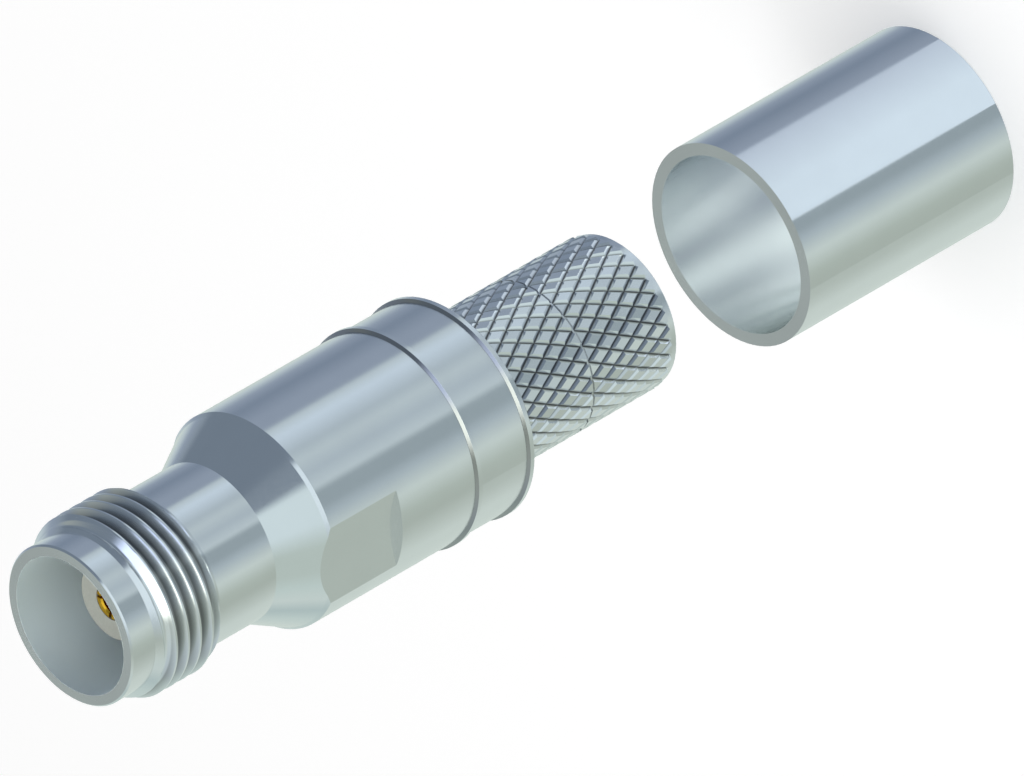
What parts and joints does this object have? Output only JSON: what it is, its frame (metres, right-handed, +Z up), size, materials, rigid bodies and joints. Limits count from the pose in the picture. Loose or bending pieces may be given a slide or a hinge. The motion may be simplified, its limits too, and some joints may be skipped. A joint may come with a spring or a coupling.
{
  "type": "tnc connector",
  "caption": "Straight coaxial cable jack with a threaded coupling end, slotted gold socket, wrench flats and a diamond-knurled crimp stem, its loose crimp ferrule on the same axis.",
  "frame": {"origin": "on the floor at the connector's axis, in the plane of the ferrule's lower end", "axes": "+Z up along the common axis of connector and ferrule, towards the mating face; +X square to a wrench flat; +Y along the flats, to the right-handed third side"},
  "size_m": [0.0134, 0.0134, 0.067],
  "materials": {
    "shell_plate": "satin white-bronze plate on turned brass",
    "stem_plate": "satin white-bronze plate on knurled brass",
    "ferrule_plate": "satin plate on annealed tube",
    "gold_contact": "gold plate on spring alloy",
    "insulator": "plain fluoropolymer"
  },
  "bodies": {
    "connector": {"connector_body": "shell_plate", "crimp_stem": "stem_plate", "front_insulator": "insulator", "rear_insulator": "insulator", "centre_contact": "gold_contact"},
    "ferrule": {"crimp_ferrule": "ferrule_plate"}
  },
  "joints": [
    {"name": "ferrule_slide", "type": "slide", "parent": "connector", "child": "ferrule", "axis": [0, 0, 1], "range_m": [0, 0.0219]}
  ]
}
